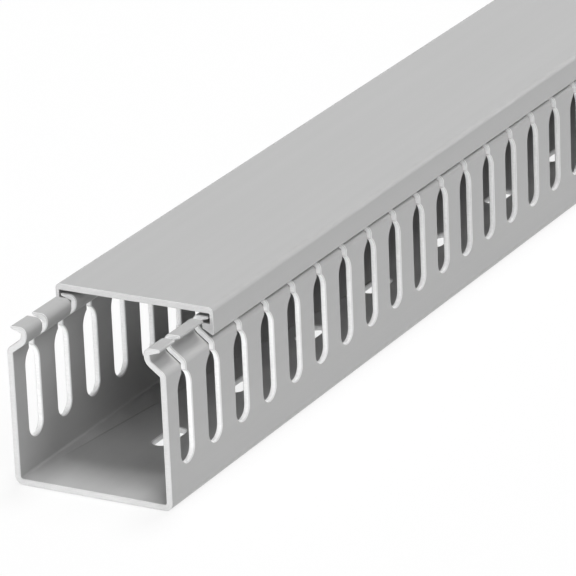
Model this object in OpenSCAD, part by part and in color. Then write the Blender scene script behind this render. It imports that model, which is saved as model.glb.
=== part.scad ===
// Slotted wire duct with its clip-on cover, lying on its base.
// Origin: middle of the underside of the base. +X across, +Y along the duct to its rear end, +Z up.

/* [Duct body] */
// Length of the duct body
duct_len = 1000; // [120:1:2000]
// Width over the outer faces of the walls
duct_w = 40; // [30:1:120]
// Height of the finger heads above the underside of the base
head_h = 37.8; // [33:0.1:120]
// Thickness of the side walls and of the finger heads
wall_t = 1.5; // [1.2:0.1:1.7]
// Thickness of the base
base_t = 1.5; // [1:0.1:3]
// Radius of the outer edges along the base
edge_r = 2; // [1:0.1:4]
// Radius of the inner corners along the base
corner_r = 0.6; // [0.2:0.1:1.5]

/* [Slots and fingers] */
// Distance from one slot to the next
slot_pitch = 12.5; // [10:0.5:25]
// Width of a slot between two fingers
slot_w = 5.8; // [4.5:0.1:8]
// Distance from the front end to the middle of the first slot
first_slot = 8; // [6:0.1:12]
// Least width of the finger that is left at the rear end
end_finger = 4; // [2:0.5:10]
// Height of the lowest point of a slot
slot_floor = 9; // [5:0.1:12]
// Radius of the rounded shoulders by which a slot narrows towards the heads
shoulder_r = 4.5; // [4:0.1:8]
// Gap between the heads of two fingers
neck_w = 1.9; // [0.8:0.1:3]
// Height of the neck of a slot below the bend of the head
neck_drop = 1.3; // [0.2:0.1:3]

/* [Finger heads] */
// Rise of the leaning strip above the bend for each millimetre that it runs inward
strip_slope = 0.75; // [0.7:0.05:0.9]
// Inner radius of the bend between wall and head
bend_r = 0.3; // [0.2:0.05:0.6]
// Distance from the outer face of the wall in to the innermost face of its head
head_in = 5.3; // [5.1:0.1:6.5]
// Radius of the pocket that the hook of the cover sits in
pocket_r = 1.65; // [1.5:0.05:1.8]
// Length of the upright piece between pocket and lip
rise = 0.3; // [0.1:0.05:0.6]
// Inner radius of the corner between upright piece and lip
curl_r = 0.1; // [0.05:0.05:0.3]
// Radius of the rounded end of a lip
lip_r = 0.4; // [0.3:0.05:0.5]

/* [Base holes] */
// Distance from one base hole to the next, and from the front end to the first
hole_pitch = 34; // [25:1:100]
// Width of a base hole
hole_w = 4.4; // [4.2:0.1:8]
// Length of a base hole
hole_len = 11; // [9:0.5:20]
// Least length of base left between the last hole and the rear end
hole_margin = 7; // [4:1:20]

/* [Cover] */
// Distance by which the cover stands back from the front end of the duct
cover_back = 21.5; // [0:0.5:60]
// Thickness of the flat top of the cover
plate_t = 1.5; // [1:0.1:2.2]
// Height of the side skirts of the cover, from the flat top's upper face down to the foot
skirt_h = 6.7; // [6.4:0.05:6.75]
// Thickness of the side skirts of the cover
skirt_t = 0.9; // [0.7:0.05:1]
// Radius of the outer edges along the top of the cover
cover_r = 1.2; // [0.5:0.1:1.4]
// Distance from the outer face of a skirt in to the lowest line of its foot
foot_tip = 0.3; // [0.1:0.05:0.4]
// Radius of the round that leads from the outer face of a skirt to that line
foot_r = 1.1; // [0.3:0.1:1.2]
// Gap between the finger heads and the flat top of the cover
top_gap = 0.7; // [0.4:0.05:0.9]
// Gap between the ends of the lips and the skirts
skirt_gap = 0.35; // [0.3:0.05:0.5]
// Distance from the outer face of a skirt in to the tip of its hook
hook_in = 2.85; // [2.4:0.05:2.9]
// Angle between the lower face of a hook and the upright
hook_angle = 62; // [58:1:63]
// Least gap between the upper face of a hook and the lip above it
hook_gap = 0.45; // [0.35:0.05:0.7]

/* [Hidden] */

duct_grey = [0.66, 0.66, 0.66];
cover_grey = [0.72, 0.72, 0.72];
round_fn = 48;
// Overshoot of a cutter past the face that it cuts
over = 1;

half_w = duct_w / 2;
y_front = -duct_len / 2;
y_rear = duct_len / 2;

// Curl of a head at the root of its lip
curl_or = curl_r + wall_t;
curl_z = head_h - curl_or;
// Pocket of a head: it turns the leaning strip upright
lean_angle = atan2(1, strip_slope);
pocket_or = pocket_r + wall_t;
pocket_z = curl_z - rise;
// Bend between wall and head, and the leaning strip that is tangent to bend and pocket
bend_or = bend_r + wall_t;
bend_x = half_w - bend_or;
mid_radii = bend_or + pocket_r;
strip_len = (head_in - pocket_or - bend_or + mid_radii * cos(lean_angle)) / sin(lean_angle);
bend_z = pocket_z - mid_radii * sin(lean_angle) - strip_len * cos(lean_angle);

// Lip: its length from the centre of the curl to the centre of its round end
skirt_x = half_w - skirt_t;
lip_len = head_in - curl_or - skirt_t - skirt_gap - lip_r;
lip_under = curl_or - 2 * lip_r;

// Cover heights
cover_under = head_h + top_gap;
cover_top = cover_under + plate_t;

// Slots: the neck starts where the rounded shoulders have closed in to its width
slot_r = slot_w / 2;
neck_z = bend_z - neck_drop;
shoulder_dx = shoulder_r - slot_r;
side_z = slot_floor + slot_r;
side_len = neck_z - sqrt(pow(shoulder_r, 2) - pow(shoulder_dx + neck_w / 2, 2)) - side_z;
slot_count = floor((duct_len - end_finger - slot_r - first_slot) / slot_pitch) + 1;
hole_r = hole_w / 2;
hole_count = floor((duct_len - hole_margin - hole_len / 2 - hole_pitch) / hole_pitch) + 1;

// Cutter that rounds off the upper right corner of a section, drawn from the centre of the round
module round_off(r) {
  difference() {
    square([r + over, r + over]);
    circle(r = r, $fn = round_fn);
  }
}

// A ring sector about the origin, from angle a to angle b
module sector(inner, outer, a, b) {
  reach = 2 * outer;
  mid = (a + b) / 2;
  intersection() {
    difference() {
      circle(r = outer, $fn = round_fn);
      circle(r = inner, $fn = round_fn);
    }
    polygon([[0, 0], reach * [cos(a), sin(a)], reach * [cos(mid), sin(mid)], reach * [cos(b), sin(b)]]);
  }
}

// Lip of a head, from its root above the curl's centre out to its round end
module lip_profile() {
  polygon([[0, curl_r], [lip_len, lip_under], [lip_len, curl_or], [0, curl_or]]);
  translate([lip_len, curl_or - lip_r]) circle(r = lip_r, $fn = round_fn);
}

// Head of the right wall: bend, leaning strip, pocket, upright piece, curl and lip, each from the end of the last
module head_profile() {
  translate([bend_x, bend_z]) {
    sector(bend_r, bend_or, 0, lean_angle);
    rotate(lean_angle) {
      translate([bend_r, 0]) square([wall_t, strip_len]);
      translate([mid_radii, strip_len]) {
        sector(pocket_r, pocket_or, 180 - lean_angle, 180);
        rotate(-lean_angle) {
          translate([-pocket_or, 0]) square([wall_t, rise]);
          translate([curl_r - pocket_r, rise]) {
            sector(curl_r, curl_or, 90, 180);
            lip_profile();
          }
        }
      }
    }
  }
}

// Right half of the section of the duct body
module duct_half_profile() {
  difference() {
    union() {
      square([half_w, base_t]);
      translate([half_w - wall_t, 0]) square([wall_t, bend_z]);
      translate([half_w - wall_t - corner_r, base_t - over]) square([corner_r + over / 2, corner_r + over]);
    }
    translate([half_w - wall_t - corner_r, base_t + corner_r]) circle(r = corner_r, $fn = round_fn);
    translate([half_w - edge_r, edge_r]) mirror([0, 1]) round_off(edge_r);
  }
  head_profile();
}

// One slot as a stamp across the wall: round floor, straight sides, round shoulders and the neck between heads
module slot_profile() {
  translate([0, side_z]) {
    circle(r = slot_r, $fn = round_fn);
    translate([-slot_r, 0]) square([slot_w, side_len]);
    translate([0, side_len]) {
      intersection() {
        translate([-slot_r, 0]) square([slot_w, shoulder_r]);
        translate([-shoulder_dx, 0]) circle(r = shoulder_r, $fn = round_fn);
        translate([shoulder_dx, 0]) circle(r = shoulder_r, $fn = round_fn);
      }
      translate([-neck_w / 2, 0]) square([neck_w, head_h]);
    }
  }
}

// One base hole, long along the duct
module hole_profile() {
  for (side = [-1, 1]) translate([0, side * (hole_len / 2 - hole_r)]) circle(r = hole_r, $fn = round_fn);
  square([hole_w, hole_len - hole_w], center = true);
}

// The duct body: one extruded channel, stamped into fingers along both walls
module duct_body() {
  color(duct_grey)
    difference() {
      translate([0, y_rear, 0]) rotate([90, 0, 0]) linear_extrude(height = duct_len) {
        duct_half_profile();
        mirror([1, 0]) duct_half_profile();
      }
      for (i = [0 : slot_count - 1])
        translate([-half_w - over, y_front + first_slot + i * slot_pitch, 0])
          rotate([90, 0, 90]) linear_extrude(height = duct_w + 2 * over) slot_profile();
      for (i = [1 : hole_count])
        translate([0, y_front + i * hole_pitch, -over]) linear_extrude(height = base_t + 2 * over) hole_profile();
    }
}

// Hook along the foot of a skirt: distance d is measured from the outer face of the skirt inward
function hook_under(d) = cover_top - skirt_h + d / tan(hook_angle);
function lip_under_at(d) = curl_z + curl_r + (head_in - curl_or - d) * (lip_under - curl_r) / lip_len;
hook_x = half_w - hook_in;
hook_top = lip_under_at(hook_in) - hook_gap;
// Centre of the round along the foot, where its curve leaves the outer face of the skirt
foot_z = hook_under(foot_r) + sqrt(pow(foot_r, 2) - pow(foot_r - foot_tip, 2)) - (foot_r - foot_tip) / tan(hook_angle);

// Right half of the section of the cover
module cover_half_profile() {
  difference() {
    polygon([
      [0, cover_under], [skirt_x, cover_under], [skirt_x, hook_top], [hook_x, hook_top],
      [hook_x, hook_under(hook_in)], [half_w, hook_under(0)], [half_w, cover_top], [0, cover_top]
    ]);
    translate([half_w - cover_r, cover_top - cover_r]) round_off(cover_r);
    translate([half_w - foot_r, foot_z]) mirror([0, 1]) round_off(foot_r);
  }
}

// The cover: one extruded profile that clips over the heads of both walls
module cover() {
  color(cover_grey)
    translate([0, y_rear + cover_back, 0]) rotate([90, 0, 0]) linear_extrude(height = duct_len) {
      cover_half_profile();
      mirror([1, 0]) cover_half_profile();
    }
}

duct_body();
cover();
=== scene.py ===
"""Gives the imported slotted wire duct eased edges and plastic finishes, and sets a pale studio round it."""

import math

import bpy
from bpy.props import FloatProperty, FloatVectorProperty, PointerProperty
from mathutils import Matrix, Vector


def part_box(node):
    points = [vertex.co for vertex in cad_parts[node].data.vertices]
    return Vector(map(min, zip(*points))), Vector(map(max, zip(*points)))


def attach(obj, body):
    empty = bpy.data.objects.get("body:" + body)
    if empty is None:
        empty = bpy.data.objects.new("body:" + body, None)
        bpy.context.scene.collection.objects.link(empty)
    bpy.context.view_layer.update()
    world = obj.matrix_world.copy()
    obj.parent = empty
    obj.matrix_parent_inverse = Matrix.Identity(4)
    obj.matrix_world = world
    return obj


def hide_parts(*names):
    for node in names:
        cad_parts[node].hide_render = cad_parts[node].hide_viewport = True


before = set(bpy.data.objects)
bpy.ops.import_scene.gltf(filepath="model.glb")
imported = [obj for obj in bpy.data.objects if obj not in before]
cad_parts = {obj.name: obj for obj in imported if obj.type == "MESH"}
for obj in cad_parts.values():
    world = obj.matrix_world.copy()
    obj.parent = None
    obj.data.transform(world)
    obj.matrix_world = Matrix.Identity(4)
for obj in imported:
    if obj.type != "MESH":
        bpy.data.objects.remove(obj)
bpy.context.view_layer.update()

bl_info = {
    "name": "Slotted wire duct",
    "version": (1, 0, 0),
    "blender": (4, 5, 0),
    "location": "3D View > Sidebar > Wire duct",
    "description": "Finishes a slotted wire duct and its cover, and lights them",
    "category": "Object",
}

MM = 0.001
WHITE = (1.0, 1.0, 1.0, 1.0)
DUCT_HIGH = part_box("duct_body")[1]

# Places of the materials on a shell
EXTRUDED, EDGES, SAWN, PUNCHED = range(4)

# A face of the duct body whose middle is this near an end is sawn
SAWN_DEPTH = 0.1 * MM
# A little more than the thickness of a side wall
WALL_DEPTH = 1.7 * MM
# Heights just under the bend of the side walls, and under the slots
BEND_HEIGHT = 31.0 * MM
SLOT_FOOT = 8.0 * MM
# A little more than half the width of a base hole, and than the thickness of the base
HOLE_STRIP = 3.0 * MM
BASE_HEIGHT = 1.6 * MM
# Share of a normal along an axis, above which a face leans that way, and above which it faces that way
LEANS = 0.3
FACES = 0.5

# Corners nearer than this are one, and faces that meet at less than this angle are one
MERGE_DISTANCE = 0.002 * MM
FLAT_ANGLE = math.radians(0.4)
# Least angle at an edge that is eased, and at one that stays sharp in the shading
EASED_ANGLE = math.radians(38.0)
SHARP_ANGLE = math.radians(50.0)
# Weight of large faces over small ones in the shading, where 50 is even
FACE_WEIGHT = 100

# Repeats for each metre across, along and up, of the patterns in the plastic
DIE_LINES = (2600.0, 3.0, 2600.0)
WIDE_LINES = (420.0, 1.5, 420.0)
MOTTLE = (55.0, 30.0, 55.0)
SKIN = (1500.0, 900.0, 1500.0)
SCUFFS = (90.0, 700.0, 90.0)
TOOL_MARKS = (240.0, 1900.0, 3400.0)
CRUMBS = (2600.0, 2600.0, 2600.0)
PATCHES = (130.0, 90.0, 130.0)
SPECULAR_LEVEL = 0.2

# Soft lamps: name, direction towards the lamp, light on a white face turned to it, spread in degrees
LAMPS = (
    ("overhead_lamp", (0.0, 0.33, 1.0), 0.7, 20.0),
    ("key_lamp", (0.45, -0.35, 0.82), 0.27, 36.0),
    ("back_lamp", (0.5, 0.3, 0.8), 0.2, 24.0),
    ("side_lamp", (0.8, -0.8, 0.6), 0.1, 20.0),
    ("front_lamp", (-0.35, -1.0, 0.1), 0.38, 22.0),
    ("low_lamp", (0.35, -1.0, 0.055), 0.08, 14.0),
    ("rear_lamp", (0.1, 1.0, 0.1), 0.3, 16.0),
    ("left_lamp", (-1.0, 0.8, 0.1), 0.1, 16.0),
)
# Distance from the origin to a lamp, which doesn't change its light
LAMP_DISTANCE = 3.0
# Gap between the floor and the underside of the duct
FLOOR_GAP = 0.05 * MM
# Grey of the floor where it only throws light back, and where it is seen
FLOOR_GREY = 0.8
SEEN_GREY = 0.82
# Share of plain white in the floor where it is seen. The rest is its grey, with the duct's shadow
SEEN_WHITE = 0.85
# Width of the camera's sensor in millimetres
SENSOR_WIDTH = 36.0
# Nearest and furthest distance that the camera sees
CLIP_START = 0.01
CLIP_END = 200.0


# Shader expressions
class Field:
    """A number in a node tree. Python's operators on it add Math nodes."""

    def __init__(self, recipe, socket):
        self.recipe = recipe
        self.socket = socket

    def maths(self, operation, *values):
        """A Math node on these values, in their order."""
        return self.recipe.number("ShaderNodeMath", {"operation": operation}, dict(enumerate(values)))

    def __add__(self, other):
        return self.maths("ADD", self, other)

    def __sub__(self, other):
        return self.maths("SUBTRACT", self, other)

    def __rsub__(self, other):
        return self.maths("SUBTRACT", other, self)

    def __mul__(self, other):
        return self.maths("MULTIPLY", self, other)

    __radd__ = __add__
    __rmul__ = __mul__

    def greatest(self, *others):
        """The greatest of this number and the others."""
        most = self
        for other in others:
            most = self.maths("MAXIMUM", most, other)
        return most

    def ramp(self, start, end):
        """0 before start, 1 after end, and a smooth rise between."""
        settings = {"interpolation_type": "SMOOTHSTEP", "clamp": True}
        inputs = {0: self, 1: start, 2: end, 3: 0.0, 4: 1.0}
        return self.recipe.number("ShaderNodeMapRange", settings, inputs)


class Recipe:
    """The node tree of one material or of the world."""

    def __init__(self, owner):
        owner.use_nodes = True
        self.owner = owner
        self.tree = owner.node_tree
        self.tree.nodes.clear()

    def node(self, kind, settings=None, inputs=None):
        """A new node: its settings first, then the values or links of its sockets."""
        made = self.tree.nodes.new(kind)
        for name, value in (settings or {}).items():
            setattr(made, name, value)
        for key, value in (inputs or {}).items():
            if isinstance(value, Field):
                value = value.socket
            if isinstance(value, bpy.types.NodeSocket):
                self.tree.links.new(value, made.inputs[key])
            else:
                made.inputs[key].default_value = value
        return made

    def number(self, kind, settings, inputs):
        """The first output of a new node, as a number."""
        return Field(self, self.node(kind, settings, inputs).outputs[0])

    def place(self):
        """Object coordinates, in metres."""
        return self.node("ShaderNodeTexCoord").outputs["Object"]

    def grain(self, place, repeats, detail=2.0, roughness=0.5, seed=0.0):
        """Smooth noise from 0 to 1, with so many repeats for each metre across, along and up."""
        values = {"Vector": place, "Scale": repeats, "Location": (seed, seed, seed)}
        stretched = self.node("ShaderNodeMapping", {"vector_type": "POINT"}, values)
        values = {"Vector": stretched.outputs[0], "Scale": 1.0, "Detail": detail, "Roughness": roughness}
        return self.number("ShaderNodeTexNoise", {"noise_dimensions": "3D"}, values)

    def blend(self, share, low, high):
        """The colour low where share is 0, high where it is 1."""
        made = self.node("ShaderNodeMix", {"data_type": "RGBA"}, {0: share, 6: low, 7: high})
        return made.outputs[2]

    def mix(self, share, first, second):
        """The shader first where share is 0, second where it is 1."""
        inputs = {0: share, 1: first.outputs[0], 2: second.outputs[0]}
        return self.node("ShaderNodeMixShader", inputs=inputs)

    def seen(self):
        """1 where the camera sees this surface, directly, in gloss or through glass, and 0 elsewhere."""
        rays = self.node("ShaderNodeLightPath").outputs
        camera = Field(self, rays["Is Camera Ray"])
        glossy = Field(self, rays["Is Glossy Ray"])
        clear = Field(self, rays["Is Transmission Ray"])
        return camera.greatest(glossy, clear)

    def plastic(self, colour, roughness, height, strength, depth, ior):
        """Ends a material in plastic of this colour and roughness, with a fine relief of this height."""
        relief = {"Strength": strength, "Distance": depth, "Height": height}
        bump = self.node("ShaderNodeBump", inputs=relief)
        values = {
            "Base Color": colour,
            "Roughness": roughness,
            "Normal": bump.outputs[0],
            "IOR": ior,
            "Specular IOR Level": SPECULAR_LEVEL,
        }
        return self.finish(self.node("ShaderNodeBsdfPrincipled", inputs=values))

    def finish(self, shader, target="ShaderNodeOutputMaterial"):
        """Ends the tree in its output and returns the material or world."""
        self.node(target, inputs={0: shader.outputs[0]})
        return self.owner


def shade(colour, factor):
    """A colour made lighter or darker by a factor, as four numbers."""
    return (*(min(1.0, part * factor) for part in colour[:3]), 1.0)


# Plastics
def extruded_plastic(name, colour, finish):
    """Rigid plastic as it leaves the die: faint lines along the length, a soft mottle and a satin gloss."""
    recipe = Recipe(bpy.data.materials.new(name))
    place = recipe.place()
    die_lines = recipe.grain(place, DIE_LINES, detail=3.0, roughness=0.6)
    wide_lines = recipe.grain(place, WIDE_LINES, seed=7.0)
    mottle = recipe.grain(place, MOTTLE, detail=3.0, seed=3.0)
    skin = recipe.grain(place, SKIN, seed=11.0)
    scuffs = recipe.grain(place, SCUFFS, detail=4.0, roughness=0.65, seed=19.0).ramp(0.62, 0.74)
    tone = wide_lines * 0.45 + die_lines * 0.3 + mottle * 0.25
    spread = 0.022 * finish.variation
    base = recipe.blend(tone.ramp(0.3, 0.7), shade(colour, 1.0 - spread), shade(colour, 1.0 + spread))
    base = recipe.blend(scuffs * 0.25, base, shade(colour, 1.12))
    gloss = finish.roughness + (die_lines - 0.5) * 0.12 + (mottle - 0.5) * 0.08 + scuffs * 0.08
    height = die_lines * 0.5 + wide_lines * 0.3 + skin * 0.35 * finish.variation
    return recipe.plastic(base, gloss, height, strength=0.35, depth=0.05 * MM, ior=1.53)


def cut_plastic(name, colour):
    """The same plastic where it was sawn or punched: paler and duller, with fine marks of the tool. The
    paleness is partly whitening of the cut and partly painted light.
    """
    recipe = Recipe(bpy.data.materials.new(name))
    place = recipe.place()
    marks = recipe.grain(place, TOOL_MARKS, detail=3.0, roughness=0.65, seed=5.0)
    crumbs = recipe.grain(place, CRUMBS, detail=3.0, seed=23.0)
    patches = recipe.grain(place, PATCHES, seed=31.0)
    tone = marks * 0.45 + crumbs * 0.25 + patches * 0.3
    base = recipe.blend(tone.ramp(0.3, 0.7), shade(colour, 0.92), shade(colour, 1.06))
    gloss = 0.6 + (marks - 0.5) * 0.2 + (crumbs - 0.5) * 0.15
    height = marks * 0.7 + crumbs * 0.3
    return recipe.plastic(base, gloss, height, strength=0.5, depth=0.06 * MM, ior=1.5)


# Shells
def duct_face(normal, centre):
    """The material of a face of the duct body, from its direction and its place."""
    if abs(centre.y) > DUCT_HIGH.y - SAWN_DEPTH:
        return SAWN
    in_wall = abs(centre.x) > DUCT_HIGH.x - WALL_DEPTH and SLOT_FOOT < centre.z < BEND_HEIGHT
    in_base = abs(centre.x) < HOLE_STRIP and centre.z < BASE_HEIGHT
    across_wall = in_wall and abs(normal.x) < FACES
    across_base = in_base and abs(normal.z) < FACES
    return PUNCHED if abs(normal.y) > LEANS or across_wall or across_base else EXTRUDED


def cover_face(normal, centre):
    """The material of a face of the cover. Only its ends look along it."""
    return SAWN if abs(normal.y) > FACES else EXTRUDED


def merged_copy(node, name, materials, face_kind):
    """A copy of a solid's mesh whose loose triangles are merged into flat faces, each with its material."""
    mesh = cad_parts[node].data.copy()
    mesh.name = name
    piece = bpy.data.objects.new(name, mesh)
    bpy.context.scene.collection.objects.link(piece)
    bpy.ops.object.select_all(action="DESELECT")
    piece.select_set(True)
    bpy.context.view_layer.objects.active = piece
    mesh.materials.clear()
    for material in materials:
        mesh.materials.append(material)
    bpy.ops.object.mode_set(mode="EDIT")
    bpy.ops.mesh.select_all(action="SELECT")
    bpy.ops.mesh.customdata_custom_splitnormals_clear()
    bpy.ops.mesh.remove_doubles(threshold=MERGE_DISTANCE)
    bpy.ops.object.mode_set(mode="OBJECT")
    for face in mesh.polygons:
        face.material_index = face_kind(face.normal, face.center)
    bpy.ops.object.mode_set(mode="EDIT")
    bpy.ops.mesh.select_all(action="SELECT")
    bpy.ops.mesh.dissolve_limited(angle_limit=FLAT_ANGLE, delimit={"MATERIAL"})
    bpy.ops.object.mode_set(mode="OBJECT")
    return piece


def modify(piece, kind, **settings):
    """Adds a modifier to the active piece and applies it."""
    bpy.ops.object.modifier_add(type=kind)
    modifier = piece.modifiers[-1]
    for name, value in settings.items():
        setattr(modifier, name, value)
    bpy.ops.object.modifier_apply(modifier=modifier.name)


def eased_shell(node, name, materials, face_kind, ease_width):
    """A merged copy of a solid, with its sharp edges eased, that stands for the solid."""
    piece = merged_copy(node, name, materials, face_kind)
    modify(
        piece, "BEVEL", limit_method="ANGLE", angle_limit=EASED_ANGLE, width=ease_width, segments=1,
        use_clamp_overlap=False, material=EDGES)
    bpy.ops.object.shade_smooth_by_angle(angle=SHARP_ANGLE)
    modify(piece, "WEIGHTED_NORMAL", keep_sharp=True, weight=FACE_WEIGHT)
    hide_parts(node)
    return piece


class DuctFinish(bpy.types.PropertyGroup):
    """Colours and edge sizes of the duct body and the cover."""

    duct_colour: FloatVectorProperty(
        name="Duct colour", description="Colour of the extruded faces of the duct body",
        subtype="COLOR", default=(0.39, 0.39, 0.39), min=0.0, max=1.0)
    cover_colour: FloatVectorProperty(
        name="Cover colour", description="Colour of the extruded faces of the cover",
        subtype="COLOR", default=(0.39, 0.39, 0.39), min=0.0, max=1.0)
    # The eased edges are paler than the faces beside them: partly stress whitening, partly a painted
    # highlight
    edge_colour_with_painted_highlight: FloatVectorProperty(
        name="Edge colour", description="Colour of the eased edges, where the plastic is stretched pale",
        subtype="COLOR", default=(0.7, 0.7, 0.7), min=0.0, max=1.0)
    # The sawn ends are paler than the extruded faces: partly whitening of the cut, partly painted light
    sawn_colour_with_painted_light: FloatVectorProperty(
        name="Sawn colour", description="Colour of the sawn ends",
        subtype="COLOR", default=(0.7, 0.7, 0.7), min=0.0, max=1.0)
    # The punched sides are near white: partly whitening of the cut, partly painted light
    punched_colour_with_painted_light: FloatVectorProperty(
        name="Punched colour", description="Colour of the punched sides of slots and holes",
        subtype="COLOR", default=(0.93, 0.93, 0.93), min=0.0, max=1.0)
    roughness: FloatProperty(
        name="Roughness", description="Roughness of the extruded faces",
        subtype="FACTOR", default=0.42, min=0.0, max=1.0)
    variation: FloatProperty(
        name="Variation", description="Strength of the mottle and of the skin's relief",
        subtype="FACTOR", default=1.0, min=0.0, max=2.0)
    duct_ease: FloatProperty(
        name="Duct edge ease", description="Width of the eased edges of the duct body",
        subtype="DISTANCE", unit="LENGTH", default=0.25 * MM, min=0.0, max=0.3 * MM)
    cover_ease: FloatProperty(
        name="Cover edge ease", description="Width of the eased edges of the cover",
        subtype="DISTANCE", unit="LENGTH", default=0.12 * MM, min=0.0, max=0.14 * MM)


class StudioLook(bpy.types.PropertyGroup):
    """Camera, lamps and floor."""

    azimuth: FloatProperty(
        name="Azimuth", description="Camera's turn round the duct from its front",
        subtype="ANGLE", unit="ROTATION", default=math.radians(29.099))
    elevation: FloatProperty(
        name="Elevation", description="Camera's angle above the horizon",
        subtype="ANGLE", unit="ROTATION", default=math.radians(21.032))
    roll: FloatProperty(
        name="Roll", description="Camera's turn about its own line of sight",
        subtype="ANGLE", unit="ROTATION", default=math.radians(-2.404))
    spot: FloatVectorProperty(
        name="Camera place", description="Where the camera stands",
        subtype="XYZ", unit="LENGTH", default=(0.50032, -1.30726, 0.41219))
    lens: FloatProperty(
        name="Lens", description="Focal length in millimetres", default=294.696, min=1.0, max=5000.0)
    lamp_level: FloatProperty(
        name="Lamp level", description="Factor on the strength of all lamps",
        subtype="FACTOR", default=1.0, min=0.0, max=4.0)
    sky: FloatProperty(
        name="Sky", description="Strength of the light from all round", default=0.01, min=0.0, max=5.0)
    floor_glow: FloatProperty(
        name="Floor glow", description="Light that the floor gives the duct besides what it throws back",
        default=0.3, min=0.0, max=2.0)
    floor_size: FloatProperty(
        name="Floor size", description="Side of the square floor",
        subtype="DISTANCE", unit="LENGTH", default=40.0)


class DUCT_OT_body(bpy.types.Operator):
    """Makes the duct body: extruded faces, pale cut faces that are partly painted light, and eased edges
    with a painted highlight
    """

    bl_idname = "wire_duct.body"
    bl_label = "Duct body"

    def execute(self, context):
        finish = context.scene.duct_finish
        materials = [
            extruded_plastic("duct_extruded", finish.duct_colour, finish),
            # Paler eased edges: partly stress whitening, partly a painted highlight
            extruded_plastic("duct_edges_painted_highlight", finish.edge_colour_with_painted_highlight, finish),
            # Paler sawn and punched faces: partly whitening of the cut, partly painted light
            cut_plastic("duct_sawn_with_painted_light", finish.sawn_colour_with_painted_light),
            cut_plastic("duct_punched_with_painted_light", finish.punched_colour_with_painted_light),
        ]
        shell = eased_shell(
            "duct_body", "duct_body_shell", materials, duct_face, finish.duct_ease)
        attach(shell, "duct")
        return {"FINISHED"}


class DUCT_OT_cover(bpy.types.Operator):
    """Makes the clip-on cover: extruded faces, sawn ends that are partly painted light, and eased edges with
    a painted highlight
    """

    bl_idname = "wire_duct.cover"
    bl_label = "Cover"

    def execute(self, context):
        finish = context.scene.duct_finish
        materials = [
            extruded_plastic("cover_extruded", finish.cover_colour, finish),
            # Paler eased edges: partly stress whitening, partly a painted highlight
            extruded_plastic("cover_edges_painted_highlight", finish.edge_colour_with_painted_highlight, finish),
            # Paler sawn ends: partly whitening of the cut, partly painted light
            cut_plastic("cover_sawn_with_painted_light", finish.sawn_colour_with_painted_light),
        ]
        shell = eased_shell("cover", "cover_shell", materials, cover_face, finish.cover_ease)
        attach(shell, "cover")
        return {"FINISHED"}


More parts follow.
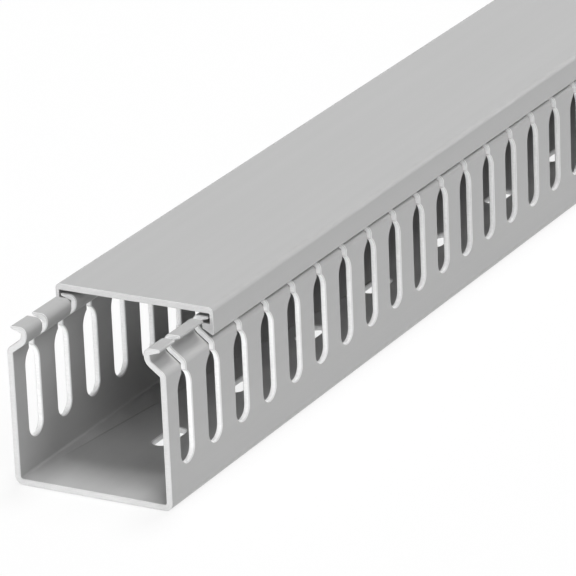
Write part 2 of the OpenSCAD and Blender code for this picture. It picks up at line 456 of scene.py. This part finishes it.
class DUCT_OT_studio(bpy.types.Operator):
    """Sets the pale floor, the lamps, the sky and the camera"""

    bl_idname = "wire_duct.studio"
    bl_label = "Studio"

    def execute(self, context):
        look = context.scene.studio_look
        self.floor(look)
        self.lamps(look)
        self.sky(look)
        self.camera(look)
        context.scene.view_settings.view_transform = "Standard"
        return {"FINISHED"}

    def floor(self, look):
        """A floor that throws light back and glows a little, and looks white but for the duct's shadow."""
        bpy.ops.object.select_all(action="DESELECT")
        bpy.ops.mesh.primitive_plane_add(size=look.floor_size, location=(0.0, 0.0, -FLOOR_GAP))
        floor = bpy.context.active_object
        floor.name = "studio_floor"
        recipe = Recipe(bpy.data.materials.new("studio_floor"))
        seen = recipe.seen()
        tint = recipe.blend(seen, shade(WHITE, FLOOR_GREY), shade(WHITE, SEEN_GREY))
        matte = recipe.node("ShaderNodeBsdfDiffuse", inputs={"Color": tint})
        glow = recipe.node("ShaderNodeEmission", inputs={"Strength": (1.0 - seen) * look.floor_glow})
        lit = recipe.node("ShaderNodeAddShader", inputs={0: matte.outputs[0], 1: glow.outputs[0]})
        white = recipe.node("ShaderNodeEmission", inputs={"Strength": 1.0})
        floor.data.materials.append(recipe.finish(recipe.mix(seen * SEEN_WHITE, lit, white)))

    def lamps(self, look):
        """The soft lamps. A level of 1 lights a white face that is turned to the lamp fully white."""
        for name, towards, level, spread in LAMPS:
            direction = Vector(towards).normalized()
            bpy.ops.object.light_add(type="SUN", location=direction * LAMP_DISTANCE)
            lamp = bpy.context.active_object
            lamp.name = name
            lamp.data.energy = level * look.lamp_level * math.pi
            lamp.data.angle = math.radians(spread)
            lamp.rotation_euler = direction.to_track_quat("Z", "Y").to_euler()

    def sky(self, look):
        """A faint light from all round, behind a white that only the camera and gloss see."""
        recipe = Recipe(bpy.context.scene.world or bpy.data.worlds.new("studio_sky"))
        bpy.context.scene.world = recipe.owner
        soft = recipe.node("ShaderNodeBackground", inputs={0: WHITE, 1: look.sky})
        white = recipe.node("ShaderNodeBackground", inputs={0: WHITE, 1: 1.0})
        recipe.finish(recipe.mix(recipe.seen(), soft, white), "ShaderNodeOutputWorld")

    def camera(self, look):
        """The camera, at the photograph's place and angle."""
        bpy.ops.object.camera_add(location=look.spot)
        camera = bpy.context.active_object
        camera.name = "photo_camera"
        turn = Matrix.Rotation(look.azimuth, 3, "Z")
        tilt = Matrix.Rotation(math.pi / 2 - look.elevation, 3, "X")
        roll = Matrix.Rotation(look.roll, 3, "Z")
        camera.rotation_euler = (turn @ tilt @ roll).to_euler()
        camera.data.sensor_width = SENSOR_WIDTH
        camera.data.lens = look.lens
        camera.data.clip_start = CLIP_START
        camera.data.clip_end = CLIP_END
        bpy.context.scene.camera = camera


class DUCT_PT_panel(bpy.types.Panel):
    """The duct's settings and its operators"""

    bl_idname = "DUCT_PT_panel"
    bl_label = "Wire duct"
    bl_space_type = "VIEW_3D"
    bl_region_type = "UI"
    bl_category = "Wire duct"

    def draw(self, context):
        for group in (context.scene.duct_finish, context.scene.studio_look):
            box = self.layout.box()
            for name in group.bl_rna.properties.keys():
                if name not in ("rna_type", "name"):
                    box.prop(group, name)
        for step in STEPS:
            self.layout.operator(step.bl_idname)


STEPS = (DUCT_OT_body, DUCT_OT_cover, DUCT_OT_studio)
CLASSES = (DuctFinish, StudioLook, *STEPS, DUCT_PT_panel)


def register():
    for cls in CLASSES:
        bpy.utils.register_class(cls)
    bpy.types.Scene.duct_finish = PointerProperty(type=DuctFinish)
    bpy.types.Scene.studio_look = PointerProperty(type=StudioLook)


def unregister():
    del bpy.types.Scene.studio_look
    del bpy.types.Scene.duct_finish
    for cls in reversed(CLASSES):
        bpy.utils.unregister_class(cls)


def main():
    register()
    bpy.ops.wire_duct.body()
    bpy.ops.wire_duct.cover()
    bpy.ops.wire_duct.studio()


if __name__ == "__main__":
    main()
